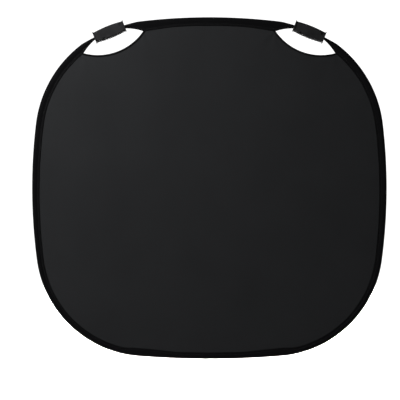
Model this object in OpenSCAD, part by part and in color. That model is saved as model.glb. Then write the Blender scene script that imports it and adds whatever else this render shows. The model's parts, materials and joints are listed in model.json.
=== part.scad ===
// Collapsible backdrop panel: a rounded-square pop-up panel on a spring-steel hoop, with two hand grips.
// Millimetres, +Z up, the panel in the XZ plane, black face towards -Y.
// The origin is the middle of the top edge, where a stand clip or clamp holds the panel.

/* [Panel outline] */
// overall width of the open panel
panel_w = 1200; // [600:10:2000]
// overall height of the open panel
panel_h = 1156; // [580:2:1930]
// radius of the long arc along the top
top_r = 1978; // [900:1:4000]
// radius of the long arc along the bottom
bottom_r = 3080; // [900:1:6000]
// radius of the long arcs down the sides
side_r = 1849; // [900:1:4000]
// radius of the two upper corners
upper_corner_r = 396; // [200:1:600]
// radius of the two lower corners
lower_corner_r = 376; // [200:1:600]

/* [Spring hoop] */
// distance from the outline in to the middle of the hoop
hoop_inset = 6.5; // [3:0.5:12]
// width of the spring-steel strip, across the panel
strip_w = 8; // [5:0.5:12]
// thickness of the strip
strip_t = 1; // [0.5:0.1:2]
// half the gap left where one hoop piece flexes against the next
flex_gap = 0.8; // [0.4:0.1:1.5]
// length by which each end of the strip passes the bottom centre
lap = 15; // [8:1:30]

/* [Rim sleeve] */
// width of the rim sleeve seen from the front
sleeve_w = 27; // [15:1:40]
// wall of the sleeve
sleeve_wall = 0.9; // [0.4:0.1:2]
// half depth of the sleeve around the hoop
sleeve_half = 6; // [5:0.5:9]
// radius of the flatter run of the outline behind each grip
flat_run_r = 640; // [400:10:900]

/* [Cloth] */
// thickness of each cloth
cloth_t = 0.8; // [0.3:0.1:2]
// gap between the black and the white cloth
cloth_gap = 0.8; // [0.4:0.1:3]
// how far inside the outline the cloths end, under the sleeve
cloth_inset = 15; // [11:1:25]

/* [Hand openings] */
// centre and radius of the arc along the upper edge of the opening
upper_arc = [279.7, 371.3, 168.6];
// centre and radius of the arc along the lower edge of the opening
lower_arc = [377.7, 636.3, 186.4];
// width of the binding along the lower edge
binding_w = 6.5; // [3:0.5:12]

/* [Hand grips] */
// direction of the grip seen from the centre of the upper corner
grip_angle = 68.1; // [50:0.1:80]
// distance of the grip's axis from the centre of the upper corner
grip_radius = 385.5; // [380:0.5:395]
// length of the grip over its flanges
grip_len = 110; // [90:1:140]
// diameter of the grip at its middle, where the hand holds it
grip_d = 43.6; // [30:0.2:50]
// radius of the barrel curve along the grip
barrel_r = 388; // [200:1:800]
// diameter of the end flanges
flange_d = 44.8; // [36:0.2:60]
// thickness of each end flange at its rim
flange_t = 1.2; // [0.8:0.1:3]
// half depth of the flats on the front and back of the grip
flat_half = 15; // [8:0.5:18]
// shank radius of the grip screws
screw_r = 1.4; // [1:0.1:2]

/* [Hidden] */
$fn = 96;
clear = 0.1;
half_h = panel_h / 2;
// centres of the long arcs, as [x, z] from the middle of the panel
c_top = [0, half_h - top_r];
c_bottom = [0, bottom_r - half_h];
c_side = [panel_w / 2 - side_r, 0];

function angle_of(v) = atan2(v[1], v[0]);
function along(a) = [cos(a), sin(a)];

// centre of a corner arc of radius r that touches both long arcs from inside
function corner(c1, r1, c2, r2, r, s) =
    let (d = norm(c2 - c1), a = r1 - r, b = r2 - r, u = (c2 - c1) / d)
    let (t = (a * a - b * b + d * d) / (2 * d), h = sqrt(a * a - t * t))
    let (n = [-u[1], u[0]], p = c1 + u * t + n * h, q = c1 + u * t - n * h)
    p[0] + s * p[1] > q[0] + s * q[1] ? p : q;

c_upper = corner(c_top, top_r, c_side, side_r, upper_corner_r, 1);
c_lower = corner(c_bottom, bottom_r, c_side, side_r, lower_corner_r, -1);

// angles where one arc of the right-hand half meets the next
a_top = angle_of(c_upper - c_top);
a_upper = angle_of(c_upper - c_side);
a_lower = angle_of(c_lower - c_side);
a_bottom = angle_of(c_lower - c_bottom);

// the right-hand half of the outline, clockwise: centre, radius, first and last angle
arcs = [
    [c_top, top_r, 90, a_top],
    [c_upper, upper_corner_r, a_top, a_upper],
    [c_side, side_r, a_upper, a_lower],
    [c_lower, lower_corner_r, a_lower, a_bottom],
    [c_bottom, bottom_r, a_bottom, -90]
];

// share k of the way along arc a
function part_way(a, k) = a[2] + (a[3] - a[2]) * k;
// hoop piece i of the right-hand half: its arc, and the shares of it where it starts and ends
function piece(i) = i == 1 ? [arcs[0], 1 / 3, 1]
    : i <= 10 ? [arcs[1 + floor((i - 2) / 3)], ((i - 2) % 3) / 3, ((i - 2) % 3 + 1) / 3]
    : i == 11 ? [arcs[4], 0, 2 / 3]
    : [arcs[4], 2 / 3, 1];

// half the angle over which the outline runs flatter behind the grip
tip_half = 14.8;
flat_mid = upper_corner_r * cos(tip_half) - sqrt(pow(flat_run_r, 2) - pow(upper_corner_r * sin(tip_half), 2));
grip_tilt = 90 - grip_angle;
grip_centre = c_upper + along(grip_angle) * grip_radius;
strip_r = upper_corner_r - hoop_inset;
neck_from = 7.15;
neck_to = 14.8;
grip_gap = 8.45;
// half the hairline left between two runs of tape
tape_gap = 0.02;
liner_half = 6.6;
screw_x = 30;
screw_z = [-8.4, 10.4];

steel = [0.62, 0.64, 0.67];
zinc = [0.75, 0.76, 0.78];
black = [0.07, 0.07, 0.08];
white = [0.92, 0.92, 0.90];
tape = [0.03, 0.03, 0.035];
plastic = [0.09, 0.09, 0.10];
foam = [0.16, 0.16, 0.17];

// ---- helpers ----

// from the middle of the panel to the origin at the top edge
module hung() translate([0, 0, -half_h]) children();

module left_side() mirror([1, 0, 0]) children();

// sweeps a profile [radius, depth] about centre c from angle lo up to angle hi
module sweep(c, lo, hi)
    translate([c[0], 0, c[1]])
        rotate([90, 0, 0])
            rotate([0, 0, lo])
                rotate_extrude(angle = hi - lo, $fn = 360)
                    children();

// a round disc across the panel
module disc(c, r, half) translate([c[0], 0, c[1]]) rotate([90, 0, 0]) cylinder(r = r, h = 2 * half, center = true, $fn = 360);

// a plate between depths y0 and y1 in the shape of the children, drawn as [x, z]
module plate(y0, y1) rotate([90, 0, 0]) translate([0, 0, -y1]) linear_extrude(y1 - y0) children();

// a wide wedge seen from centre c between two angles
module wedge(c, lo, hi, half)
    plate(-half, half)
        polygon([c, c + along(lo) * 700, c + along((lo + hi) / 2) * 1000, c + along(hi) * 700]);

// a plate that follows the outline a set distance inside it; its corners are slightly fuller arcs
module outline_plate(inset, y0, y1)
    translate([0, (y0 + y1) / 2, 0])
        difference() {
            intersection() {
                disc(c_top, top_r - inset, (y1 - y0) / 2);
                disc(c_bottom, bottom_r - inset, (y1 - y0) / 2);
                disc(c_side, side_r - inset, (y1 - y0) / 2);
                mirror([1, 0, 0]) disc(c_side, side_r - inset, (y1 - y0) / 2);
            }
            for (m = [0, 1])
                mirror([m, 0, 0]) {
                    outside_corner(c_upper, upper_corner_r - inset, a_upper, a_top);
                    outside_corner(c_lower, lower_corner_r - inset, a_bottom, a_lower);
                }
        }

module outside_corner(c, r, lo, hi)
    let (fuller = 20, centre = c - along((lo + hi) / 2) * (fuller + 2))
        difference() {
            wedge(centre, lo, hi, 5);
            disc(centre, r + fuller, 6);
        }

// ---- spring hoop ----

// piece i of the right-hand half; the strip may sit further in, and reach past the bottom centre
module hoop_piece(i, inward = 0, past = 0)
    let (p = piece(i), a = p[0], r = a[1] - hoop_inset - inward, g = flex_gap / r * 180 / PI)
        sweep(a[0], part_way(a, p[2]) + (past > 0 ? -past / r * 180 / PI : g), part_way(a, p[1]) - g)
            translate([r - strip_t / 2, -strip_w / 2])
                square([strip_t, strip_w]);

module hoop_root()
    let (a = arcs[0], r = a[1] - hoop_inset, g = flex_gap / r * 180 / PI, w = (90 - a_top) / 3 - g)
        sweep(a[0], 90 - w, 90 + w)
            translate([r - strip_t / 2, -strip_w / 2])
                square([strip_t, strip_w]);

// two rivet positions across the strip
module at_rivets()
    for (y = [-2.1, 2.1])
        translate([-19.2, y, hoop_inset - half_h])
            children();

module splice_channel()
    difference() {
        translate([-22.5, -4.9, 5.2 - half_h])
            cube([45, 9.8, 3.2]);
        translate([-25, -4.2, 5.85 - half_h])
            cube([50, 8.4, 5]);
        at_rivets() cylinder(r = 1, h = 8, center = true);
    }

// ---- cloth, sleeve and bindings, right-hand opening ----

module opening(grow_upper = 0, grow_lower = 0, half = 12)
    intersection() {
        disc([upper_arc[0], upper_arc[1]], upper_arc[2] + grow_upper, half);
        disc([lower_arc[0], lower_arc[1]], lower_arc[2] + grow_lower, half);
    }

module cloth(y0, y1)
    difference() {
        outline_plate(cloth_inset, y0, y1);
        for (m = [0, 1])
            mirror([m, 0, 0])
                opening(6, 2.6);
    }

// folded tape: closed round the hoop, its two edges stitched flat onto the cloths
module sleeve_profile(r)
    translate([r, 0])
        difference() {
            polygon([[0, -3], [0, 3], [-2, sleeve_half], [-11, sleeve_half], [-sleeve_w, 2.3],
                [-sleeve_w, -2.3], [-11, -sleeve_half], [-2, -sleeve_half]]);
            polygon([[-1, -2.5], [-1, 2.5], [-2.5, sleeve_half - sleeve_wall],
                [-10.8, sleeve_half - sleeve_wall], [-sleeve_w - 1, 1.35],
                [-sleeve_w - 1, -1.35], [-10.8, sleeve_wall - sleeve_half], [-2.5, sleeve_wall - sleeve_half]]);
        }

// one run of sleeve between two angles, a hair short at both ends
module tape_run(c, r, lo, hi)
    let (g = tape_gap / r * 180 / PI)
        sweep(c, lo + g, hi - g)
            sleeve_profile(r);

// a run of the upper corner's sleeve, cut away by the opening and flattened towards the grip
module sleeve_run(lo, hi)
    difference() {
        intersection() {
            tape_run(c_upper, upper_corner_r, lo, hi);
            disc(c_upper + along(grip_angle) * flat_mid, flat_run_r, 13);
        }
        disc([upper_arc[0], upper_arc[1]], upper_arc[2], 12);
    }

// closed neck of the sleeve round the hoop, running into the grip
module neck(side, deep)
    sweep(c_upper, grip_angle + (side > 0 ? neck_from : -neck_to), grip_angle + (side > 0 ? neck_to : -neck_from))
        difference() {
            translate([strip_r - deep, -5.6])
                square([deep + 2.2, 11.2]);
            translate([strip_r - deep + 0.9, -4.7])
                square([deep + 0.4, 9.4]);
        }

module binding()
    sweep([lower_arc[0], lower_arc[1]], 213.4, 284.4)
        difference() {
            translate([lower_arc[2], -2.3])
                square([binding_w, 4.6]);
            translate([lower_arc[2] + 2, -1.35])
                square([binding_w, 2.7]);
        }

// ---- hand grip, about its own axis along X ----

module at_grip(side)
    translate([side * grip_centre[0], 0, grip_centre[1]])
        rotate([0, side * grip_tilt, 0])
            children();

// the curved channel for the hoop, a little outside the grip's axis
module channel(half_angle, inner, outer, half)
    sweep([0, -grip_radius], 90 - half_angle, 90 + half_angle)
        translate([strip_r - inner, -half])
            square([inner + outer, 2 * half]);

// the part between the flanges: a slim barrel with flats on its front and back
module grip_barrel()
    intersection() {
        rotate([0, 90, 0])
            rotate_extrude($fn = 180)
                intersection() {
                    translate([grip_d / 2 - barrel_r, 0])
                        circle(r = barrel_r, $fn = 720);
                    translate([0, 1 - grip_len / 2])
                        square([grip_d, grip_len - 2]);
                }
        cube([grip_len, 2 * flat_half, grip_d + 8], center = true);
    }

// a sharp-edged disc that flares out of the barrel's end, its front and back cut off too
module grip_flange()
    let (end = grip_len / 2, rim = flange_d / 2, root = end - flange_t - 2.8)
        intersection() {
            rotate([0, 90, 0])
                rotate_extrude($fn = 180)
                    polygon([[0, end], [rim, end], [rim, end - flange_t],
                        [rim - 2.3, end - flange_t - 1.2], [rim - 3.3, root], [0, root]]);
            translate([end - 2, 0, 0])
                cube([8, 2 * flat_half + 5, flange_d + 8], center = true);
        }

module grip_body()
    difference() {
        union() {
            grip_barrel();
            grip_flange();
            mirror([1, 0, 0]) grip_flange();
        }
        channel(12, 3.2, 3.2, 5.5);
        for (s = [-1, 1])
            rotate([0, 0, s > 0 ? 0 : 180])
                intersection() {
                    channel_mouth();
                    translate([46.6, -20, -30])
                        cube([20, 40, 60]);
                }
    }

module channel_mouth() channel(12, 8.6, 2.8, 6.2);

module at_screws()
    for (x = [-screw_x, screw_x], z = screw_z)
        translate([x, 0, z])
            rotate([-90, 0, 0])
                children();

module grip_front()
    difference() {
        intersection() {
            grip_body();
            translate([-100, -50 - clear, -50])
                cube([200, 50, 100]);
        }
        at_screws()
            translate([0, 0, -8])
                cylinder(r = screw_r + 0.05, h = 12);
        translate([38.4, -17, 6])
            cube([7, 5.6, 8]);
        translate([-30, -17, -18])
            cube([8, 5.6, 7.4]);
    }

module grip_back()
    difference() {
        intersection() {
            grip_body();
            translate([-100, clear, -50])
                cube([200, 50, 100]);
        }
        at_screws() {
            cylinder(r = screw_r + 0.3, h = 12);
            translate([0, 0, 6.4])
                cylinder(r = 2.9, h = 12);
        }
    }

module grip_liner()
    difference() {
        channel(liner_half, 3.1, 3.1, 5.4);
        channel(12, strip_t / 2 + clear, strip_t / 2 + clear, strip_w / 2 + clear);
    }

module grip_screws()
    at_screws() {
        translate([0, 0, -7.5])
            cylinder(r = screw_r, h = 14.5);
        translate([0, 0, 6.5])
            difference() {
                cylinder(r = 2.6, h = 1.8);
                translate([0, 0, 0.9])
                    cube([0.8, 3.4, 2], center = false);
            }
    }

// ---- one module per part ----

module hoop_0() color(steel) hung() hoop_root();
module hoop_r1() color(steel) hung() hoop_piece(1);
module hoop_r2() color(steel) hung() hoop_piece(2);
module hoop_r3() color(steel) hung() hoop_piece(3);
module hoop_r4() color(steel) hung() hoop_piece(4);
module hoop_r5() color(steel) hung() hoop_piece(5);
module hoop_r6() color(steel) hung() hoop_piece(6);
module hoop_r7() color(steel) hung() hoop_piece(7);
module hoop_r8() color(steel) hung() hoop_piece(8);
module hoop_r9() color(steel) hung() hoop_piece(9);
module hoop_r10() color(steel) hung() hoop_piece(10);
module hoop_r11() color(steel) hung() hoop_piece(11);
module hoop_r12() color(steel) hung() hoop_piece(12, strip_t + 0.25, lap);

module hoop_l1() color(steel) hung() left_side() hoop_piece(1);
module hoop_l2() color(steel) hung() left_side() hoop_piece(2);
module hoop_l3() color(steel) hung() left_side() hoop_piece(3);
module hoop_l4() color(steel) hung() left_side() hoop_piece(4);
module hoop_l5() color(steel) hung() left_side() hoop_piece(5);
module hoop_l6() color(steel) hung() left_side() hoop_piece(6);
module hoop_l7() color(steel) hung() left_side() hoop_piece(7);
module hoop_l8() color(steel) hung() left_side() hoop_piece(8);
module hoop_l9() color(steel) hung() left_side() hoop_piece(9);
module hoop_l10() color(steel) hung() left_side() hoop_piece(10);
module hoop_l11() color(steel) hung() left_side() hoop_piece(11);

module hoop_l12()
    color(steel)
        hung()
            difference() {
                left_side() hoop_piece(12, 0, lap);
                at_rivets() cylinder(r = 1, h = 8, center = true);
            }

module splice_clip() color(zinc) hung() splice_channel();

module splice_rivets()
    color(zinc)
        hung()
            at_rivets() {
                translate([0, 0, -1.6])
                    cylinder(r = 0.9, h = 3);
                translate([0, 0, -1.95])
                    cylinder(r = 1.6, h = 0.5);
                translate([0, 0, 0.65])
                    cylinder(r = 1.6, h = 0.8);
            }

module front_cloth() color(black) hung() cloth(-cloth_gap / 2 - cloth_t, -cloth_gap / 2);
module back_cloth() color(white) hung() cloth(cloth_gap / 2, cloth_gap / 2 + cloth_t);

module rim_sleeve()
    color(tape)
        hung() {
            tape_run(c_bottom, bottom_r, -180 - a_bottom, a_bottom);
            for (m = [0, 1])
                mirror([m, 0, 0]) {
                    tape_run(c_lower, lower_corner_r, a_bottom, a_lower);
                    tape_run(c_side, side_r, a_lower, a_upper);
                    sleeve_run(a_upper, grip_angle - grip_gap);
                    neck(-1, 5.8);
                }
        }

module top_sleeve()
    color(tape)
        hung() {
            tape_run(c_top, top_r, a_top, 180 - a_top);
            for (m = [0, 1])
                mirror([m, 0, 0]) {
                    sleeve_run(grip_angle + grip_gap, a_top);
                    neck(1, 7.8);
                }
        }

module opening_binding_right() color(tape) hung() binding();
module opening_binding_left() color(tape) hung() left_side() binding();

module grip_right_front() color(plastic) hung() at_grip(1) grip_front();
module grip_right_back() color(plastic) hung() at_grip(1) grip_back();
module grip_right_liner() color(foam) hung() at_grip(1) grip_liner();
module grip_right_screws() color(zinc) hung() at_grip(1) grip_screws();
module grip_left_front() color(plastic) hung() at_grip(-1) grip_front();
module grip_left_back() color(plastic) hung() at_grip(-1) grip_back();
module grip_left_liner() color(foam) hung() at_grip(-1) grip_liner();
module grip_left_screws() color(zinc) hung() at_grip(-1) grip_screws();

hoop_0();
hoop_r1();
hoop_r2();
hoop_r3();
hoop_r4();
hoop_r5();
hoop_r6();
hoop_r7();
hoop_r8();
hoop_r9();
hoop_r10();
hoop_r11();
hoop_r12();
hoop_l1();
hoop_l2();
hoop_l3();
hoop_l4();
hoop_l5();
hoop_l6();
hoop_l7();
hoop_l8();
hoop_l9();
hoop_l10();
hoop_l11();
hoop_l12();
splice_clip();
splice_rivets();
front_cloth();
back_cloth();
rim_sleeve();
top_sleeve();
opening_binding_right();
opening_binding_left();
grip_right_front();
grip_right_back();
grip_right_liner();
grip_right_screws();
grip_left_front();
grip_left_back();
grip_left_liner();
grip_left_screws();
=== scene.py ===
"""Looks of the collapsible backdrop panel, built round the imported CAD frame.

Row frame, metres: +Z up, black face towards -Y, origin at the middle of the top edge.
Soft pieces are laid out from the panel's middle, as (x, z), and lowered by HALF_H at the end.
"""
import bmesh
import bpy
import json
import math
import numpy as np
from mathutils import Matrix, Vector

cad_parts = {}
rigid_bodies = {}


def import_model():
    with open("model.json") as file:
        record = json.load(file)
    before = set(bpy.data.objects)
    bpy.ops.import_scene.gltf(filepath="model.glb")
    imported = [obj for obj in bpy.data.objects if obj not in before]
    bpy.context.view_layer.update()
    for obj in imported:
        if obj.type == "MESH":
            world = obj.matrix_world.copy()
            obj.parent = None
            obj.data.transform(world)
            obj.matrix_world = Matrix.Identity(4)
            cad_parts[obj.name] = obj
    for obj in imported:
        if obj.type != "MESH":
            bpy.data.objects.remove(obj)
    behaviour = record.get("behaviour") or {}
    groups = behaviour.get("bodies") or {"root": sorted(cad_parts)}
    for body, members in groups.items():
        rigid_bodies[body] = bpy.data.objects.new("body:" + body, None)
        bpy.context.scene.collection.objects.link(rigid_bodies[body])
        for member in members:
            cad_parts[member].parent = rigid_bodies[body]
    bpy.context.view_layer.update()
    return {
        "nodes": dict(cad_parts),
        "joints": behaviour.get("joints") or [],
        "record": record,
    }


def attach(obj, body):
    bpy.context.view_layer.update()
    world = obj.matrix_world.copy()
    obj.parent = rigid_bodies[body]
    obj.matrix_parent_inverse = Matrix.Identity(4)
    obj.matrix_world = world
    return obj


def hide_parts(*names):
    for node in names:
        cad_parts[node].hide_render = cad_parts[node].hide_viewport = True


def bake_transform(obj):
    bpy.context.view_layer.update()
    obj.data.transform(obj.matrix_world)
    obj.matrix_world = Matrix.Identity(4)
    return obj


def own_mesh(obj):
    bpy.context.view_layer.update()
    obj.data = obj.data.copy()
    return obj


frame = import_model()
record = frame["record"]

# ---------------------------------------------------------------- outline of the panel

HALF_W, HALF_H = 0.600, 0.578
TOP_R, BOTTOM_R, SIDE_R, UPPER_R, LOWER_R = 1.978, 3.080, 1.849, 0.396, 0.376
HOOP_INSET = 0.0065
# bearing of a grip on its corner, half angles of its mouths and of the flatter run, and that run's radius
GRIP_ANGLE, MOUTH, TIP_HALF, FLAT_RUN_R = 68.1, 7.15, 14.8, 0.640
# a hand opening lies between two arcs, each given as centre and radius
UPPER_ARC = (np.array([0.2797, 0.3713]), 0.1686)
LOWER_ARC = (np.array([0.3777, 0.6363]), 0.1864)
OPENING_TIPS = ((0.2242, 0.5305), (0.4254, 0.4561))
# hoop pieces in each half, besides the top one
COUNT = 12


def ray(degrees):
    a = np.radians(degrees)
    return np.stack([np.cos(a), np.sin(a)], -1)


def bearing(v):
    return math.degrees(math.atan2(v[1], v[0]))


def smooth(x, low, high):
    t = np.clip((np.asarray(x, float) - low) / (high - low), 0, 1)
    return t * t * (3 - 2 * t)


def corner_centre(c1, r1, c2, r2, r, upward):
    """Centre of a corner arc of radius r that touches both long arcs from inside."""
    d = np.linalg.norm(c2 - c1)
    a, b, u = r1 - r, r2 - r, (c2 - c1) / d
    t = (a * a - b * b + d * d) / (2 * d)
    n, h = np.array([-u[1], u[0]]), math.sqrt(a * a - t * t)
    return max((c1 + u * t + n * h, c1 + u * t - n * h), key=lambda q: q[0] + upward * q[1])


C_TOP, C_BOTTOM = np.array([0, HALF_H - TOP_R]), np.array([0, BOTTOM_R - HALF_H])
C_SIDE = np.array([HALF_W - SIDE_R, 0.0])
C_UPPER = corner_centre(C_TOP, TOP_R, C_SIDE, SIDE_R, UPPER_R, 1)
C_LOWER = corner_centre(C_BOTTOM, BOTTOM_R, C_SIDE, SIDE_R, LOWER_R, -1)
A_TOP, A_UPPER = bearing(C_UPPER - C_TOP), bearing(C_UPPER - C_SIDE)
A_LOWER, A_BOTTOM = bearing(C_LOWER - C_SIDE), bearing(C_LOWER - C_BOTTOM)
ARCS = [
    (C_TOP, TOP_R, 90.0, A_TOP),
    (C_UPPER, UPPER_R, A_TOP, A_UPPER),
    (C_SIDE, SIDE_R, A_UPPER, A_LOWER),
    (C_LOWER, LOWER_R, A_LOWER, A_BOTTOM),
    (C_BOTTOM, BOTTOM_R, A_BOTTOM, -90.0),
]


def piece(i):
    """Centre, radius, first and last angle of piece i of the right-hand half; 0 is half the top piece."""
    arc, low, high = (
        (0, 0, 1 / 3) if i == 0
        else (0, 1 / 3, 1) if i == 1
        else (1 + (i - 2) // 3, (i - 2) % 3 / 3, (i - 2) % 3 / 3 + 1 / 3) if i <= 10
        else (4, 0, 2 / 3) if i == 11
        else (4, 2 / 3, 1)
    )
    c, r, a, b = ARCS[arc]
    return c, r, a + (b - a) * low, a + (b - a) * high


def half_name(side, i):
    """The half's letter and the piece's number, such as r5."""
    return f"{'r' if side > 0 else 'l'}{i}"


def body(side, i):
    return f"band_{half_name(side, i)}" if i else "top_band"


def hinge(i):
    """Hinge between pieces i - 1 and i, on the hoop's middle line, right-hand half."""
    c, r, a, _ = piece(i)
    return c + (r - HOOP_INSET) * ray(a)


BOTTOM_END = np.array([0.0, HOOP_INSET - HALF_H])
TOP_MIDDLE = np.array([0.0, HALF_H - HOOP_INSET])
HINGES = [TOP_MIDDLE] + [hinge(i) for i in range(1, COUNT + 1)] + [BOTTOM_END]


def to_row(p, side=1, y=0.0):
    """Points (x, z) about the panel's middle, mirrored for the left half, as row-frame points."""
    p = np.asarray(p, float)
    return np.stack([side * p[..., 0], np.broadcast_to(y, p.shape[:-1]), p[..., 1] - HALF_H], -1)


def row_way(v, side):
    """A direction (x, z) as a row-frame direction, mirrored for the left half."""
    return np.array([side * v[0], 0, v[1]])


def waves(turn, terms):
    """Sum of sines of an angle; each term is a count, a height and a phase."""
    return sum(height * np.sin(count * turn + phase) for count, height, phase in terms)


# ---------------------------------------------------------------- the folded state

couplings = {c["joint"]: c["ratio"] for c in record["behaviour"]["couplings"]}
fold_limit = next(j["range_deg"][1] for j in frame["joints"] if j["name"] == "fold")
folded = {"top_band": Matrix.Identity(4)}
for j in frame["joints"]:
    pivot = Matrix.Translation(Vector(j["pos_m"]))
    angle = math.radians(fold_limit * couplings.get(j["name"], 1))
    turn = Matrix.Rotation(angle, 4, Vector(j["axis"]))
    folded[j["child"]] = folded[j["parent"]] @ pivot @ turn @ pivot.inverted()
coil_z = np.mean([(folded[j["parent"]] @ Vector(j["pos_m"])).z for j in frame["joints"]])


MOST_LEAN, LEAST_KEEP = 0.37, 0.04


def cloth_fold(side, i, share=1.0):
    """Axis, anchor and keep of the squash that draws the cloth of piece i in to the folded coil's axis."""
    inverse = folded[body(side, i)].inverted()
    start, way = inverse @ Vector((0, 0, coil_z)), inverse.to_3x3() @ Vector((0, 1, 0))
    centre = start - way * (start.y / way.y)
    first = HINGES[i] if i else HINGES[1] * [-1, 1]
    a, b = to_row(first, side if i else 1), to_row(HINGES[i + 1], side)
    anchor, along = (a + b) / 2, (b - a) / np.linalg.norm(b - a)
    middle = to_row(np.zeros(2))
    inward = np.cross(along, [0, 1, 0])
    inward *= np.sign((middle - anchor) @ inward)
    e, h = (middle - anchor) @ along, (middle - anchor) @ inward
    ec, hc = (np.array(centre) - anchor) @ along, (np.array(centre) - anchor) @ inward
    lean = float(np.clip((e - ec) / (h - hc), -MOST_LEAN, MOST_LEAN))
    lost = (h - hc) * (1 + lean * lean) / (h + e * lean)
    axis = (inward + lean * along) / math.hypot(1, lean)
    return axis, anchor, max(LEAST_KEEP, (1 - lost) * share)


# ---------------------------------------------------------------- mesh helpers


LEAST_AGREEMENT = 0.2


def add_mesh(name, verts, faces, mat, normals=None, weave=None):
    """A closed mesh in the row frame. normals holds one per vertex, or NaN to leave it to the faces."""
    mesh = bpy.data.meshes.new(name)
    mesh.from_pydata(np.asarray(verts, float).tolist(), [], [list(map(int, f)) for f in faces])
    # faces may come in any winding: the mesh is closed, so they can all be turned outwards here
    shell = bmesh.new()
    shell.from_mesh(mesh)
    bmesh.ops.recalc_face_normals(shell, faces=shell.faces)
    shell.to_mesh(mesh)
    shell.free()
    mesh.materials.append(mat)
    mesh.polygons.foreach_set("use_smooth", [True] * len(mesh.polygons))
    if weave is not None:
        layer = mesh.attributes.new("weave", "FLOAT_VECTOR", "POINT")
        layer.data.foreach_set("vector", np.asarray(weave, np.float32).ravel())
    mesh.validate()
    if normals is not None:
        corner_vertex = np.zeros(len(mesh.loops), int)
        mesh.loops.foreach_get("vertex_index", corner_vertex)
        custom = np.asarray(normals, float)[corner_vertex]
        flat = np.zeros(len(mesh.polygons) * 3)
        mesh.polygons.foreach_get("normal", flat)
        flat = flat.reshape(-1, 3)
        owner = np.repeat(np.arange(len(mesh.polygons)), [p.loop_total for p in mesh.polygons])
        # a missing normal, or one that leans too far off its own face, is left to the face
        plain = ~np.isfinite(custom).all(1) | ((custom * flat[owner]).sum(1) < LEAST_AGREEMENT)
        custom[plain] = flat[owner][plain]
        mesh.normals_split_custom_set(custom.tolist())
    obj = bpy.data.objects.new(name, mesh)
    bpy.context.scene.collection.objects.link(obj)
    return obj


def tube_faces(rows, cols):
    """Quads between the rings of a tube that has cols vertices in each of its rows."""
    r, c = np.meshgrid(np.arange(rows - 1), np.arange(cols), indexing="ij")
    n = (c + 1) % cols
    quads = np.stack([r * cols + c, (r + 1) * cols + c, (r + 1) * cols + n, r * cols + n], -1)
    return [list(quad) for quad in quads.reshape(-1, 4)]


def grid_normals(points):
    """Unit normals of a grid of points, from central differences."""
    n = np.cross(np.gradient(points, axis=0), np.gradient(points, axis=1))
    return n / np.maximum(np.linalg.norm(n, axis=-1, keepdims=True), 1e-15)


def outwards(normals, rings, column):
    """The normals of a tube, turned so that they point away from its inside at one column."""
    middle = rings.mean(1, keepdims=True)
    sign = np.sign(((rings - middle)[:, column] * normals[:, column]).sum(-1))
    return normals * sign[:, None, None]


# ---------------------------------------------------------------- materials


class Nodes:
    """A small helper that builds one node material."""

    def __init__(self, name, colour, roughness, **sockets):
        self.mat = bpy.data.materials.new(name)
        self.mat.use_nodes = True
        self.mat.diffuse_color = (*colour, 1)
        self.tree = self.mat.node_tree
        self.shader = self.tree.nodes["Principled BSDF"]
        self.shader.inputs["Base Color"].default_value = (*colour, 1)
        self.shader.inputs["Roughness"].default_value = roughness
        for key, value in sockets.items():
            self.shader.inputs[key.replace("_", " ")].default_value = value

    def node(self, kind, inputs=(), out=0, **props):
        n = self.tree.nodes.new(kind)
        for key, value in props.items():
            setattr(n, key, value)
        for key, value in dict(inputs).items():
            if isinstance(value, bpy.types.NodeSocket):
                self.tree.links.new(value, n.inputs[key])
            else:
                n.inputs[key].default_value = value
        return n.outputs[out]

    def place(self, scale=(1, 1, 1), attribute=None):
        source = (
            self.node("ShaderNodeAttribute", out="Vector", attribute_name=attribute)
            if attribute
            else self.node("ShaderNodeTexCoord", out="Object")
        )
        return self.node("ShaderNodeMapping", {"Vector": source, "Scale": scale})

    def noise(self, place, scale, detail=3.0, rough=0.5):
        inputs = {"Vector": place, "Scale": scale, "Detail": detail, "Roughness": rough}
        return self.node("ShaderNodeTexNoise", inputs)

    def wave(self, place, period, direction, distortion=0.0):
        return self.node(
            "ShaderNodeTexWave",
            {"Vector": place, "Scale": math.pi / 10 / period, "Distortion": distortion, "Detail": 0.0},
            out=1, wave_type="BANDS", bands_direction=direction,
        )

    def maths(self, kind, a, b=0.0):
        return self.node("ShaderNodeMath", {0: a, 1: b}, operation=kind)

    def mix(self, factor, a, b):
        n = self.tree.nodes.new("ShaderNodeMix")
        n.data_type = "RGBA"
        for key, value in ((0, factor), (6, a), (7, b)):
            if isinstance(value, bpy.types.NodeSocket):
                self.tree.links.new(value, n.inputs[key])
            else:
                n.inputs[key].default_value = value
        return n.outputs[2]

    def spread(self, value, low, high, to_low=0.0, to_high=1.0):
        return self.node(
            "ShaderNodeMapRange",
            {"Value": value, "From Min": low, "From Max": high, "To Min": to_low, "To Max": to_high},
        )

    def bump(self, height, distance, strength=1.0, below=None):
        inputs = {"Height": height, "Distance": distance, "Strength": strength}
        if below is not None:
            inputs["Normal"] = below
        return self.node("ShaderNodeBump", inputs)

    def set(self, key, value):
        self.tree.links.new(value, self.shader.inputs[key])


def shade(colour, factor):
    return (*[min(1.0, c * factor) for c in colour], 1)


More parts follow.
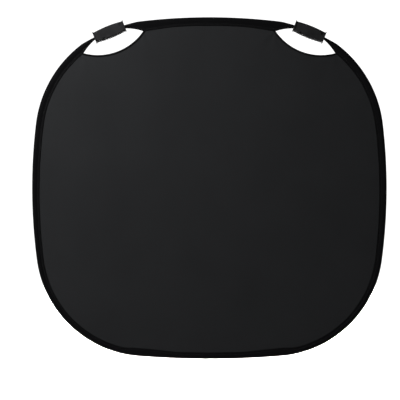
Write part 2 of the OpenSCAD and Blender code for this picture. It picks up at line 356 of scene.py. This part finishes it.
def woven(name, colour, yarn, rough, sheen, uneven=0.16, depth=0.00012, specular=0.12):
    """Plain weave on the weave attribute, with uneven yarns, faint clouding and a little lint."""
    m = Nodes(name, colour, rough, Specular_IOR_Level=specular, Sheen_Weight=sheen, Sheen_Roughness=0.5)
    cloth, large = m.place(attribute="weave"), m.place()
    across, along = m.wave(cloth, yarn, "X"), m.wave(cloth, yarn, "Y")
    chequer = m.node(
        "ShaderNodeTexChecker",
        {"Vector": cloth, "Color1": (1, 1, 1, 1), "Color2": (0, 0, 0, 1), "Scale": 1 / yarn}, out=1,
    )
    over = m.maths("MULTIPLY", across, chequer)
    under = m.maths("MULTIPLY", along, m.maths("SUBTRACT", 1.0, chequer))
    yarns = m.maths("ADD", over, under)
    slub = m.noise(m.place((60, 900, 1), attribute="weave"), 1.0, 2.0)
    clouds = m.noise(large, 5.0, 4.0, 0.55)
    tone = m.mix(m.spread(yarns, 0.0, 1.0, 0.0, 1.0), shade(colour, 1 - uneven), shade(colour, 1 + uneven))
    tone = m.mix(m.spread(slub, 0.35, 0.7, 0.0, 0.35), tone, shade(colour, 1.35))
    tone = m.mix(m.spread(clouds, 0.3, 0.7, 0.0, 0.3), tone, shade(colour, 0.72))
    lint = m.noise(large, 520.0, 1.0)
    tone = m.mix(m.spread(lint, 0.78, 0.84, 0.0, 0.12), tone, (0.3, 0.3, 0.3, 1))
    m.set("Base Color", tone)
    m.set("Roughness", m.spread(clouds, 0.2, 0.8, rough - 0.07, rough + 0.07))
    soft = m.bump(m.noise(large, 38.0, 3.0), 0.0009, 0.35)
    m.set("Normal", m.bump(yarns, depth, 0.8, soft))
    return m.mat


def ribbed_tape(name, colour, rib, rough):
    """Grosgrain binding: fine cross ribs, selvedge lines and a few rubbed spots on the outer edge, with
    painted shade along its edges where it meets the cloth.
    """
    m = Nodes(name, colour, rough, Specular_IOR_Level=0.02)
    tape, large = m.place(attribute="weave"), m.place()
    edge = m.node("ShaderNodeSeparateXYZ", {"Vector": tape}, out=2)
    ribs = m.wave(tape, rib, "X", 0.6)
    threads = m.wave(tape, rib * 0.45, "Y")
    clouds, fuzz = m.noise(large, 16.0, 4.0), m.noise(large, 700.0, 2.0)
    tone = m.mix(m.spread(ribs, 0.1, 0.9), shade(colour, 0.7), shade(colour, 1.25))
    tone = m.mix(m.spread(threads, 0.3, 0.9, 0.0, 0.3), tone, shade(colour, 1.5))
    rubbed = m.maths("MULTIPLY", m.spread(clouds, 0.5, 0.72), m.spread(fuzz, 0.45, 0.7))
    tone = m.mix(m.maths("MULTIPLY", rubbed, 0.2), tone, (0.006, 0.006, 0.0063, 1))
    # painted shade: the tape is darkened to near black within about 3 mm of its edges, where it meets the
    # cloth
    tone = m.mix(m.spread(edge, 0.0022, 0.0034, 0.8, 0.0), tone, shade(colour, 0.15))
    m.set("Base Color", tone)
    m.set("Roughness", m.spread(fuzz, 0.3, 0.7, rough - 0.08, rough + 0.06))
    soft = m.bump(clouds, 0.0008, 0.3)
    m.set("Normal", m.bump(m.maths("ADD", ribs, m.maths("MULTIPLY", threads, 0.4)), 0.00016, 0.7, soft))
    return m.mat


def moulded_plastic(name, colour):
    """Fine spark-eroded grain, flow clouding, dulled scuffs where hands and cases rub."""
    m = Nodes(name, colour, 0.5, Specular_IOR_Level=0.06)
    p = m.place()
    grain = m.node("ShaderNodeTexVoronoi", {"Vector": p, "Scale": 1500.0}, feature="SMOOTH_F1")
    clouds, scuff = m.noise(p, 30.0, 4.0), m.noise(m.place((1, 2.2, 1)), 95.0, 5.0, 0.65)
    worn = m.maths("MULTIPLY", m.spread(scuff, 0.56, 0.68), m.spread(clouds, 0.42, 0.66))
    tone = m.mix(m.spread(clouds, 0.3, 0.7), shade(colour, 0.82), shade(colour, 1.2))
    tone = m.mix(m.maths("MULTIPLY", worn, 0.5), tone, shade(colour, 2.6))
    m.set("Base Color", tone)
    dulled = m.maths("MULTIPLY", worn, 0.18)
    m.set("Roughness", m.maths("ADD", m.spread(clouds, 0.25, 0.75, 0.34, 0.44), dulled))
    m.set("Normal", m.bump(grain, 0.00012, 0.5, m.bump(scuff, 0.0002, 0.25)))
    return m.mat


def metal(name, colour, rough, streak, tint):
    """Rolled or plated steel: streaks along the strip, faint stains and handling marks."""
    m = Nodes(name, colour, rough, Metallic=1.0)
    streaks = m.noise(m.place(streak), 1.0, 3.0, 0.6)
    stains = m.noise(m.place(), 45.0, 4.0)
    tone = m.mix(m.spread(streaks, 0.3, 0.7), shade(colour, 0.82), shade(colour, 1.12))
    tone = m.mix(m.spread(stains, 0.52, 0.75, 0.0, 0.45), tone, (*tint, 1))
    m.set("Base Color", tone)
    m.set("Roughness", m.spread(streaks, 0.25, 0.75, rough - 0.09, rough + 0.12))
    m.set("Normal", m.bump(streaks, 0.00005, 0.5))
    return m.mat


def foamed_rubber(name, colour):
    m = Nodes(name, colour, 0.8, Specular_IOR_Level=0.3)
    cells = m.node("ShaderNodeTexVoronoi", {"Vector": m.place(), "Scale": 900.0})
    fade = m.noise(m.place(), 60.0, 3.0)
    m.set("Base Color", m.mix(m.spread(cells, 0.1, 0.7), shade(colour, 0.6), shade(colour, 1.3)))
    m.set("Roughness", m.spread(fade, 0.3, 0.7, 0.72, 0.9))
    m.set("Normal", m.bump(cells, 0.0003, 0.6))
    return m.mat


def twisted_thread(name, colour):
    m = Nodes(name, colour, 0.6, Specular_IOR_Level=0.2)
    p = m.place()
    plies = m.wave(p, 0.0005, "DIAGONAL", 0.4)
    dust = m.noise(p, 250.0, 2.0)
    tone = m.mix(m.spread(plies, 0.2, 0.9), shade(colour, 0.6), shade(colour, 1.5))
    m.set("Base Color", m.mix(m.spread(dust, 0.5, 0.8, 0.0, 0.3), tone, shade(colour, 2.2)))
    m.set("Roughness", m.spread(dust, 0.3, 0.7, 0.52, 0.68))
    m.set("Normal", m.bump(plies, 0.0001, 0.6))
    return m.mat


black_cloth = woven("black_cloth", (0.0087, 0.0090, 0.0095), 0.0011, 0.88, 0.004, specular=0.04)
white_cloth = woven("white_cloth", (0.69, 0.69, 0.676), 0.0011, 0.84, 0.02, uneven=0.07)
black_tape = ribbed_tape("black_tape", (0.0018, 0.0018, 0.0020), 0.0014, 0.88)
tape_thread = twisted_thread("tape_thread", (0.006, 0.006, 0.0063))
grip_plastic = moulded_plastic("grip_plastic", (0.0075, 0.0075, 0.0078))
spring_steel = metal("spring_steel", (0.50, 0.51, 0.53), 0.36, (30, 1600, 30), (0.30, 0.27, 0.22))
zinc = metal("zinc", (0.62, 0.63, 0.64), 0.34, (260, 260, 90), (0.52, 0.50, 0.40))
liner_rubber = foamed_rubber("liner_rubber", (0.03, 0.03, 0.031))

# ---------------------------------------------------------------- cloth

# for each layer the way it faces along Y, its material, the CAD node it replaces and its slot
LAYERS = {
    "black": (-1, black_cloth, "front_cloth", "black_cloth"),
    "white": (1, white_cloth, "back_cloth", "white_cloth"),
}
CLOTH_Y, CLOTH_T = 0.00085, 0.0003
FLAP, FLAP_DROP = 0.0045, 0.00034
PUCKERS = ((46, 0.5, 1.1), (91, 0.3, 4.0), (139, 0.2, 2.2))
SLOPE_STEP = 0.001
# steps from the panel's middle to the rim, closer together near the rim
WEDGE_STEPS = np.concatenate(
    [np.linspace(0.0, 0.62, 7)[:-1], np.linspace(0.62, 0.88, 7)[:-1], np.linspace(0.88, 1.0, 9)]
)


def ripple(p):
    """How far the stretched cloth stands off its plane at points (x, z): puckers at the rim and openings."""
    x, z = p[..., 0], p[..., 1]
    far = np.hypot(x / HALF_W, z / HALF_H)
    out = 0.00022 * smooth(far, 0.80, 1.0) * waves(np.arctan2(z, x), PUCKERS)
    for side in (-1, 1):
        for tip in OPENING_TIPS:
            dx, dz = x - side * tip[0], z - tip[1]
            d = np.hypot(dx, dz)
            turn = np.arctan2(dz, side * dx)
            out = out + 0.00045 * np.exp(-((d / 0.07) ** 2)) * np.sin(turn * 7 + 0.6) * smooth(d, 0.0, 0.02)
    return out + 0.0005 * np.sin(3.1 * x + 0.4) * np.sin(2.7 * z + 0.9) * (1 - far**2).clip(0, 1)


def rim_distance(theta, i, inset):
    """Distance from the panel's middle to the outline, less inset, along bearing theta across piece i."""
    c, r, _, _ = piece(i)
    dot = ray(theta) @ c
    return dot + np.sqrt(dot**2 - c @ c + (r - inset) ** 2)


def opening_distance(theta, radius):
    """Distance to the near side of a circle about the lower arc's centre, or infinity."""
    c = LOWER_ARC[0]
    dot = ray(theta) @ c
    q = dot**2 - c @ c + radius**2
    return np.where(q > 0, dot - np.sqrt(np.maximum(q, 0)), np.inf)


def sleeve_width(z):
    """Width of the tape from the outline to its inner seam, wider along the top."""
    return 0.025 + 0.004 * z / HALF_H


def wedge_layout(mirror, i, axis, anchor, keep):
    """Points (x, z) of a wedge in rows outwards, with its flap as the last column, and its reach."""
    start, end = bearing(HINGES[i]), bearing(HINGES[i + 1]) if i < COUNT else -90.0
    theta = np.linspace(start, end, 35) if i else np.linspace(180 - end, end, 31)
    arc = np.where(theta > 90, 180 - theta, theta)
    # the outer edge stays half way under the sleeve, both open and folded
    half_way = rim_distance(arc, i, 0.013)[:, None] * ray(theta)
    moved = ((to_row(half_way, mirror) - anchor) @ axis) * (1 - keep)
    radial = to_row(ray(theta), mirror) - to_row(np.zeros(2))
    shift = moved * (radial @ axis)
    width = sleeve_width(half_way[:, 1])
    inset = np.clip(width / 2 - shift / 2, 0.0030, width - 0.0015)
    reach = np.minimum(rim_distance(arc, i, inset), opening_distance(arc, LOWER_ARC[1] + 0.0030))
    flat = (WEDGE_STEPS[:, None] * reach[None, :])[..., None] * ray(theta)[None]
    if i < COUNT:
        flap = flat[:, -1:] + FLAP * WEDGE_STEPS[:, None, None] * ray(theta[-1] - 90)
        flat = np.concatenate([flat, flap], 1)
    return flat, float(reach.max())


def wedge_faces(rows, cols):
    """Faces of a wedge's two sides and edge. Its first row is one point, so its first cells are triangles."""
    count = rows * cols
    index = np.arange(count).reshape(rows, cols)
    index[0] = 0
    cells = [
        [index[r, c], index[r + 1, c], index[r + 1, c + 1], index[r, c + 1]]
        for r in range(rows - 1)
        for c in range(cols - 1)
    ]
    front = [list(dict.fromkeys(cell)) for cell in cells]
    back = [[v + count for v in cell] for cell in front]
    loop = [index[r, 0] for r in range(rows)] + [index[-1, c] for c in range(1, cols)]
    loop += [index[r, -1] for r in range(rows - 2, 0, -1)]
    edge = [[b, a, a + count, b + count] for a, b in zip(loop, loop[1:] + loop[:1])]
    return front + back + edge


def cloth_wedge(colour, side, i):
    """Cloth between hoop piece i and the panel's middle, with a narrow flap that lies below its neighbour."""
    face, mat, node, slot = LAYERS[colour]
    mirror = side if i else 1
    # this layer of these pieces is inside the folded bundle, so it is drawn in further
    hidden = i >= 4 and (colour == "white") == (side < 0)
    axis, anchor, keep = cloth_fold(side, i, 0.6 if hidden else 1.0)
    flat, tall = wedge_layout(mirror, i, axis, anchor, keep)
    at = flat * [mirror, 1]
    lift = face * CLOTH_Y - ripple(at)
    if i < COUNT:
        lift[:, -1] -= face * FLAP_DROP
    front = to_row(flat, mirror, lift)
    back = to_row(flat, mirror, lift - face * CLOTH_T)
    slope_x, slope_z = (
        (ripple(at + step) - ripple(at - step)) / (2 * SLOPE_STEP) for step in np.eye(2) * SLOPE_STEP
    )
    out = np.stack([slope_x, np.ones_like(lift), slope_z], -1) * face
    out /= np.linalg.norm(out, axis=-1, keepdims=True)
    verts = np.concatenate([front.reshape(-1, 3), back.reshape(-1, 3)])
    normals = np.concatenate([out.reshape(-1, 3), -out.reshape(-1, 3)])
    weave = np.stack([verts[:, 0], verts[:, 2], np.zeros(len(verts))], -1)
    # the first row's spare vertices are left out
    faces = wedge_faces(*flat.shape[:2])
    used = sorted({v for f in faces for v in f})
    number = {v: k for k, v in enumerate(used)}
    faces = [[number[v] for v in f] for f in faces]
    name = f"{colour}_cloth_{half_name(side, i) if i else 'top'}"
    obj = add_mesh(name, verts[used], faces, mat, normals[used], weave[used])
    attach(obj, body(side, i))
    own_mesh(obj)
    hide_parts(node)


for colour in LAYERS:
    cloth_wedge(colour, 1, 0)
    for side in (1, -1):
        for i in range(1, COUNT + 1):
            cloth_wedge(colour, side, i)

# ---------------------------------------------------------------- thread

THREAD_PITCH = 0.0036


def stitch(p, t, n, half=0.0012, thick=0.00032):
    """One thread stitch: a slim spindle that dips into the cloth at both ends."""
    b = np.cross(n, t)
    verts = [p - t * half - n * 0.0003]
    for step in (-0.55, 0.55):
        centre = p + t * half * step + n * 0.00012
        verts += [centre + n * thick, centre + b * thick, centre - n * thick, centre - b * thick]
    verts.append(p + t * half - n * 0.0003)
    faces = []
    for k in range(4):
        m = (k + 1) % 4
        faces += [[0, 1 + m, 1 + k], [1 + k, 1 + m, 5 + m, 5 + k], [5 + k, 5 + m, 9]]
    return verts, faces


def add_stitches(name, places):
    """One mesh of stitches, each place being a point, the thread's direction and the cloth's normal."""
    verts, faces = [], []
    for p, t, n in places:
        v, f = stitch(p, t / np.linalg.norm(t), n / np.linalg.norm(n))
        faces += [[q + len(verts) for q in g] for g in f]
        verts += v
    return add_mesh(name, verts, faces, tape_thread)


def thread_marks(first, last, margin):
    """Distances of the stitches between two ends, at the same pitch in every run."""
    marks = np.arange(math.ceil(first / THREAD_PITCH), math.floor(last / THREAD_PITCH) + 1) * THREAD_PITCH
    return marks[(marks > first + margin) & (marks < last - margin)]


# ---------------------------------------------------------------- rim sleeve

STATION = 0.0032
TAPE_T, TURN_IN = 0.0009, 0.012
# rows of stitches: their inset from the inner seam, and the narrowest tape that carries them
SEAM_ROWS = ((0.0026, 0.0085), (0.0066, 0.0190))
SEAM = ((163, 0.40, 0.3), (241, 0.35, 2.1), (389, 0.25, 4.4))
EDGE = ((37, 0.50, 1.7), (88, 0.30, 3.9), (205, 0.20, 0.8))

PERIMETER = [0.0]
for i in range(COUNT + 1):
    c, r, a, b = piece(i)
    PERIMETER.append(PERIMETER[-1] + math.radians(abs(b - a)) * r)


def seam_ripple(s, terms):
    """A smooth uneven wave that closes on itself round the whole rim; s is signed arc length from the top."""
    return waves(np.pi * s / PERIMETER[-1], terms)


def rim_limits(c, r, a, s):
    """Outer and inner inset of the sleeve at bearing a of an arc, in metres."""
    p = c + r * ray(a)
    # the tape widens towards each grip along the top, and stops at the hand opening's upper arc
    neck = 0.0055 * smooth(p[..., 0], 0.10, 0.222) * smooth(p[..., 0], 0.30, 0.25)
    inner = sleeve_width(p[..., 1]) + neck + 0.0004 * seam_ripple(s, EDGE)
    dot = ((c - UPPER_ARC[0]) * ray(a)).sum(-1)
    q = dot**2 - ((c - UPPER_ARC[0]) ** 2).sum() + UPPER_ARC[1] ** 2
    far = -dot + np.sqrt(np.maximum(q, 0))
    hit = np.where((q > 0) & (p[..., 1] > 0.42), r - far, np.inf)
    outer = np.zeros_like(inner)
    if c is C_UPPER:
        # the outline runs flatter across the grip
        tip = math.radians(TIP_HALF)
        mid = UPPER_R * math.cos(tip) - math.sqrt(FLAT_RUN_R**2 - (UPPER_R * math.sin(tip)) ** 2)
        off = a - GRIP_ANGLE
        beta = np.radians(off)
        flat = mid * np.cos(beta) + np.sqrt(FLAT_RUN_R**2 - (mid * np.sin(beta)) ** 2)
        outer = np.where(abs(off) < TIP_HALF, np.maximum(UPPER_R - flat, 0), 0)
    return outer, np.maximum(np.minimum(inner, hit), outer + 0.0066)


def section(outer, inner, s):
    """Insets and half depths of the tape's outer face, from the fold round the hoop to the inner seam."""
    long = (inner - outer)[:, None]
    nose = 0.0050 * np.minimum(1, long / 0.013)
    tail = 0.0075 * np.minimum(1, long / 0.020)
    bend = 1 - np.cos(np.radians([0, 18, 36, 54, 72, 90]))
    run = np.array([0.16, 0.33, 0.5, 0.67, 0.84, 1.0])
    lip = np.array([0.82, 0.70, 0.60, 0.48, 0.36, 0.30, 0.24, 0.12, 0.0])
    q = np.concatenate([nose * bend, nose + (long - tail - nose) * run, long - tail * lip], 1)
    round_nose = np.sqrt(np.maximum(1 - (1 - np.minimum(q / nose, 1)) ** 2, 0))
    # wide tape closes to a flat seam; tape narrowed by a hand opening stays a tube
    t = np.clip((q - 0.0085) / np.maximum(long - 0.0055 - 0.0085, 1e-4), 0, 1)
    wide = 0.0060 - 0.0037 * t * t * (3 - 2 * t)
    t = np.clip((q - long * 0.45) / (long * 0.55), 0, 1)
    tube = 0.0058 * np.sqrt(np.maximum(1 - 0.97 * t**2, 0))
    k = smooth(long, 0.010, 0.021)
    y = round_nose * (tube * (1 - k) + wide * k)
    # the seam puckers, and each row of stitches pulls a groove
    near = np.exp(-(((long - q - 0.0025) / 0.0035) ** 2)) * k
    y = y + near * (0.00022 * seam_ripple(s, SEAM)[:, None])
    for row, _ in SEAM_ROWS:
        y = y - 0.00022 * np.exp(-(((long - q - row) / 0.0007) ** 2)) * k
    y[:, -1] -= 0.00035
    return outer[:, None] + q, np.maximum(y, 0)


def sleeve_rings(c, r, a, s, side):
    """Points round the tape's closed section at each station, their insets from its edge, and its limits."""
    outer, inner = rim_limits(c, r, a, s)
    q, y = section(outer, inner, s)
    q_in = np.minimum(np.maximum(q, q[:, :1] + TAPE_T), q[:, -1:])
    y_in = np.maximum(y - TAPE_T, 0.0001)
    # the outer skin from the front seam round to the back seam, then the inner skin the other way
    inset = np.concatenate([q[:, ::-1], q[:, 1:], q_in[:, :0:-1], q_in], 1)
    depth = np.concatenate([-y[:, ::-1], y[:, 1:], y_in[:, :0:-1], -y_in], 1)
    depth[:, 3 * q.shape[1] - 2] = 0.0
    plane = c + (r - inset)[..., None] * ray(a)[:, None, :]
    return to_row(plane, side, depth), inset - outer[:, None], outer, inner


def run_stations(parts):
    """Centre, radius, bearings and arc lengths of the stations along each (piece, from, to) of the rim."""
    for i, low, high in parts:
        c, r, a, b = piece(i)
        steps = max(3, int(round(math.radians(abs(b - a)) * r * (high - low) / STATION)) + 1)
        f = np.linspace(low, high, steps)
        yield c, r, a + (b - a) * f, PERIMETER[i] + (PERIMETER[i + 1] - PERIMETER[i]) * f


def seam_stitches(side, rings, across, s, outer, inner, a, c, r):
    """Places of the stitches along both rows of the seam, front and back."""
    half = rings.shape[1] // 2
    nose = half // 2
    places = []
    for row, narrowest in SEAM_ROWS:
        for face in (-1, 1):
            skin = slice(nose, half) if face > 0 else slice(nose, None, -1)
            skin_q, skin_y = (across + outer[:, None])[:, skin], rings[:, skin, 1]
            marks = thread_marks(s[0], s[-1], 0.0008)
            insets = np.interp(marks, s, inner) - row
            widths = np.interp(marks, s, inner - outer)
            for mark, inset, width in zip(marks, insets, widths):
                if width < narrowest:
                    continue
                m = min(np.searchsorted(s, mark), len(s) - 1)
                lo = max(m - 1, 0)
                f = (mark - s[lo]) / max(s[m] - s[lo], 1e-9)
                y_lo, y_m = (np.interp(inset, skin_q[k], skin_y[k]) for k in (lo, m))
                angle = (1 - f) * a[lo] + f * a[m] if np.allclose(c[lo], c[m]) else a[m]
                p = to_row(c[m] + (r[m] - inset) * ray(angle), side, (1 - f) * y_lo + f * y_m)
                places.append((p, row_way(ray(angle - 90), side), np.array([0.0, face, 0.0])))
    return places


def sleeve_run(side, i, parts):
    """A run of sleeve over the hinge between pieces i - 1 and i."""
    stretches = []
    for c, r, a, s in run_stations(parts):
        # one station more at each end, for the normals only; a second stretch shares its first station
        da, ds = a[1] - a[0], s[1] - s[0]
        a = np.concatenate([[a[0] - da], a, [a[-1] + da]])
        s = side * np.concatenate([[s[0] - ds], s, [s[-1] + ds]])
        rings, across, outer, inner = sleeve_rings(c, r, a, s, side)
        facing = grid_normals(np.concatenate([rings[:, -1:], rings, rings[:, :1]], 1))[:, 1:-1]
        centres, radii = np.tile(c, (len(a), 1)), np.full(len(a), r)
        cut = slice(2 if stretches else 1, -1)
        stretches.append([x[cut] for x in (rings, facing, across, s, outer, inner, a, centres, radii)])
    rings, facing, across, s, outer, inner, a, c, r = (np.concatenate(x) for x in zip(*stretches))
    rows, cols = rings.shape[:2]
    half = cols // 2
    # the two lips take their own faces' normals
    facing = outwards(facing, rings, half // 2)
    facing[:, [0, half - 1, half, -1]] = np.nan
    faces = tube_faces(rows, cols)
    for base in (0, (rows - 1) * cols):
        faces += [[base + k, base + k + 1, base + cols - 2 - k, base + cols - 1 - k] for k in range(half - 1)]
    signed_across = across * np.where(np.arange(cols) < (half + 1) // 2, -1, 1)
    # distance from the seam's lip, which the tape's material uses to paint shade along the edge
    edge = across.max(1, keepdims=True) - across
    weave = np.stack([np.repeat(s, cols), signed_across.ravel(), edge.ravel()], -1)
    name = half_name(side, i)
    obj = add_mesh(f"sleeve_{name}", rings.reshape(-1, 3), faces, black_tape, facing.reshape(-1, 3), weave)
    places = seam_stitches(side, rings, across, abs(s), outer, inner, a, c, r)
    thread = add_stitches(f"stitching_{name}", places)
    for part in (obj, thread):
        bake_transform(part)
    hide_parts("rim_sleeve", "top_sleeve")


mouth_in, mouth_out = (
    (A_TOP - (GRIP_ANGLE + off)) / (A_TOP - piece(2)[3]) for off in (MOUTH, -MOUTH)
)
for side in (1, -1):
    for i in range(1, COUNT + 1):
        # piece 2 carries the grip, so the sleeve stops at its mouths
        before = (2, mouth_out, 1.0) if i == 3 else (i - 1, 0.5 if i > 1 else 0.0, 1.0)
        after = (2, 0.0, mouth_in) if i == 2 else (i, 0.0, 0.5 if i < COUNT else 1.0)
        sleeve_run(side, i, [before, after])

# ---------------------------------------------------------------- binding of the hand openings

BINDING_W = 0.0065
BINDING_SEAM, BINDING_THREAD_Y = 0.0045, 0.0020
# bearings about the lower arc's centre: where binding may lie, and the opening's two tips
BINDING_FROM, BINDING_TO = 208, 290
TIP_FROM, TIP_TO = 213.4, 284.4


def binding_run(side, i, from_bearing, to_bearing):
    """Tape folded over the cloth's edge along the lower arc, for the part that hangs on piece i."""
    centre, radius = LOWER_ARC
    # bearings about the panel's middle become bearings about the arc's centre
    table = np.linspace(BINDING_FROM, BINDING_TO, 1641)
    theta = np.degrees(np.arctan2(*(centre + (radius + 0.003) * ray(table)).T[::-1]))
    low, high = sorted(np.interp([from_bearing, to_bearing], theta[::-1], table[::-1]))
    steps = max(4, int(math.radians(high - low) * radius / 0.003))
    beta = np.linspace(low, high, steps)
    beta = np.concatenate([[2 * beta[0] - beta[1]], beta, [2 * beta[-1] - beta[-2]]])
    along = np.radians(beta - BINDING_FROM) * radius
    width = BINDING_W + 0.0003 * seam_ripple(along * 5.0, EDGE)
    q = np.array([0, 0.00025, 0.0009, 0.0018, 0.0029, 0.0037, 0.0043, 0.0047, 0.0051, 0.0058, BINDING_W])
    y = 0.0023 * np.sqrt(1 - (1 - np.minimum(q / 0.0018, 1)) ** 2) - 0.0004 * smooth(q, 0.002, BINDING_W)
    y = y - 0.0002 * np.exp(-(((q - BINDING_SEAM) / 0.0005) ** 2))
    y[-1] -= 0.0004
    # it thins towards the opening's tips
    squeeze = 1 - 0.5 * (1 - smooth(np.minimum(beta - TIP_FROM, TIP_TO - beta), -2.0, 1.5))[:, None]
    uneven = 0.00012 * seam_ripple(along * 3.0, SEAM)[:, None] * smooth(q, 0.001, 0.004)[None]
    qs = q[None] * (width / BINDING_W)[:, None]
    ys = (y[None] + uneven) * squeeze
    inset = np.concatenate([qs[:, ::-1], qs[:, 1:]], 1)
    depth = np.concatenate([-ys[:, ::-1], ys[:, 1:]], 1)
    plane = centre + (radius + inset)[..., None] * ray(beta)[:, None, :]
    rings = to_row(plane, side, depth)
    facing = grid_normals(rings)[1:-1]
    rings, inset, along = rings[1:-1], inset[1:-1], along[1:-1]
    rows, cols = rings.shape[:2]
    facing = outwards(facing, rings, cols // 2)
    facing[:, [0, -1]] = np.nan
    faces = tube_faces(rows, cols) + [list(range(cols)), list(range((rows - 1) * cols, rows * cols))]
    # the third value, distance from the binding's edges, lets the tape's material paint shade where it meets
    # the cloth
    weave = np.stack([np.repeat(along, cols), inset.ravel(), (BINDING_W - inset).ravel()], -1)
    name = half_name(side, i)
    obj = add_mesh(f"binding_{name}", rings.reshape(-1, 3), faces, black_tape, facing.reshape(-1, 3), weave)
    places = []
    for mark in thread_marks(along[0], along[-1], 0.001):
        angle = BINDING_FROM + math.degrees(mark / radius)
        for face in (-1, 1):
            p = to_row(centre + (radius + BINDING_SEAM) * ray(angle), side, face * BINDING_THREAD_Y)
            places.append((p, row_way(ray(angle + 90), side), np.array([0.0, face, 0.0])))
    thread = add_stitches(f"binding_stitching_{name}", places)
    axis, anchor, keep = cloth_fold(side, i)
    for part in (obj, thread):
        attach(part, body(side, i))
        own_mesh(part)
    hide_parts("opening_binding_right" if side > 0 else "opening_binding_left")


# bearings about the panel's middle of the binding's two ends
OUTER_END, INNER_END = 46.6, 67.8
RAY_2, RAY_3 = bearing(HINGES[2]), bearing(HINGES[3])
for side in (1, -1):
    binding_run(side, 1, INNER_END, RAY_2)
    binding_run(side, 2, RAY_2, RAY_3)
    binding_run(side, 3, RAY_3, OUTER_END)

# ---------------------------------------------------------------- CAD pieces that stay

FINISH = {
    "hoop": spring_steel, "splice": zinc, "screws": zinc, "liner": liner_rubber,
    "front": grip_plastic, "back": grip_plastic,
}
for name, node in frame["nodes"].items():
    if node.hide_render:
        continue
    mat = next(m for key, m in FINISH.items() if key in name)
    node.data.materials.clear()
    node.data.materials.append(mat)
    if name.startswith("grip") and name.endswith(("front", "back")):
        weld = node.modifiers.new("weld", "WELD")
        weld.merge_threshold = 0.00002
        bevel = node.modifiers.new("edges", "BEVEL")
        bevel.width, bevel.segments = 0.0004, 2
        bevel.limit_method, bevel.angle_limit = "ANGLE", math.radians(38)
        bevel.harden_normals = True

# ---------------------------------------------------------------- stage, light, camera

FLOOR_Z, FLOOR_SIDE, FLOOR_BACK = -1.30, 30, 11
floor_mesh = bpy.data.meshes.new("floor")
left, right = -FLOOR_SIDE, FLOOR_SIDE
corners = [(left, -FLOOR_SIDE), (right, -FLOOR_SIDE), (right, FLOOR_BACK), (left, FLOOR_BACK)]
floor_mesh.from_pydata([(x, y, FLOOR_Z) for x, y in corners], [], [(0, 1, 2, 3)])
floor = bpy.data.objects.new("floor", floor_mesh)
bpy.context.scene.collection.objects.link(floor)
paint = Nodes("floor", (0.95, 0.95, 0.95), 0.9, Specular_IOR_Level=0.2)
paint.set("Roughness", paint.spread(paint.noise(paint.place(), 3.0, 3.0), 0.3, 0.7, 0.85, 0.95))
floor.data.materials.append(paint.mat)

bpy.context.scene.view_settings.view_transform = "Standard"
world = bpy.data.worlds.new("studio")
bpy.context.scene.world = world
world.use_nodes = True
sky = world.node_tree
direction = sky.nodes.new("ShaderNodeSeparateXYZ")
sky.links.new(sky.nodes.new("ShaderNodeTexCoord").outputs["Generated"], direction.inputs[0])


def sky_ramp(axis, low, high, to_low, to_high):
    ramp = sky.nodes.new("ShaderNodeMapRange")
    for key, value in (("From Min", low), ("From Max", high), ("To Min", to_low), ("To Max", to_high)):
        ramp.inputs[key].default_value = value
    sky.links.new(direction.outputs[axis], ramp.inputs["Value"])
    return ramp.outputs[0]


# a white backdrop behind the panel, a dimmer studio on the black side, a dark ceiling
level = sky.nodes.new("ShaderNodeMath")
level.operation = "MULTIPLY"
sky.links.new(sky_ramp("Y", 0.80, 0.96, 0.30, 1.20), level.inputs[0])
sky.links.new(sky_ramp("Z", 0.2, 0.7, 1.0, 0.12), level.inputs[1])
sky.links.new(level.outputs[0], sky.nodes["Background"].inputs["Strength"])
sky.nodes["Background"].inputs["Color"].default_value = (1, 1, 1, 1)


def area_light(name, place, target, size, power, spread=180):
    light = bpy.data.lights.new(name, "AREA")
    light.spread = math.radians(spread)
    light.shape, light.size, light.energy = "DISK", size, power
    obj = bpy.data.objects.new(name, light)
    obj.location = place
    obj.rotation_euler = (Vector(target) - Vector(place)).to_track_quat("-Z", "Y").to_euler()
    obj.visible_camera = False
    bpy.context.scene.collection.objects.link(obj)
    return obj


area_light("key", (-1.3, -1.1, 0.70), (-0.3, 0, -0.24), 0.5, 97)
wash = area_light("floor_wash", (0.5, 6.5, 5.0), (0.5, 6.2, FLOOR_Z), 8.8, 1700, 60)
# the wash whitens the floor only, so it does not bleach the panel's white back
only_floor = bpy.data.collections.new("only_floor")
only_floor.objects.link(floor)
wash.light_linking.receiver_collection = only_floor

camera = bpy.data.objects.new("camera", bpy.data.cameras.new("camera"))
camera.location = (-0.0318, -8.0, -HALF_H - 0.0406)
camera.rotation_euler = (math.radians(90), 0, 0)
camera.data.lens, camera.data.sensor_width = 212.8, 36
camera.data.clip_end = 100
bpy.context.scene.collection.objects.link(camera)
bpy.context.scene.camera = camera
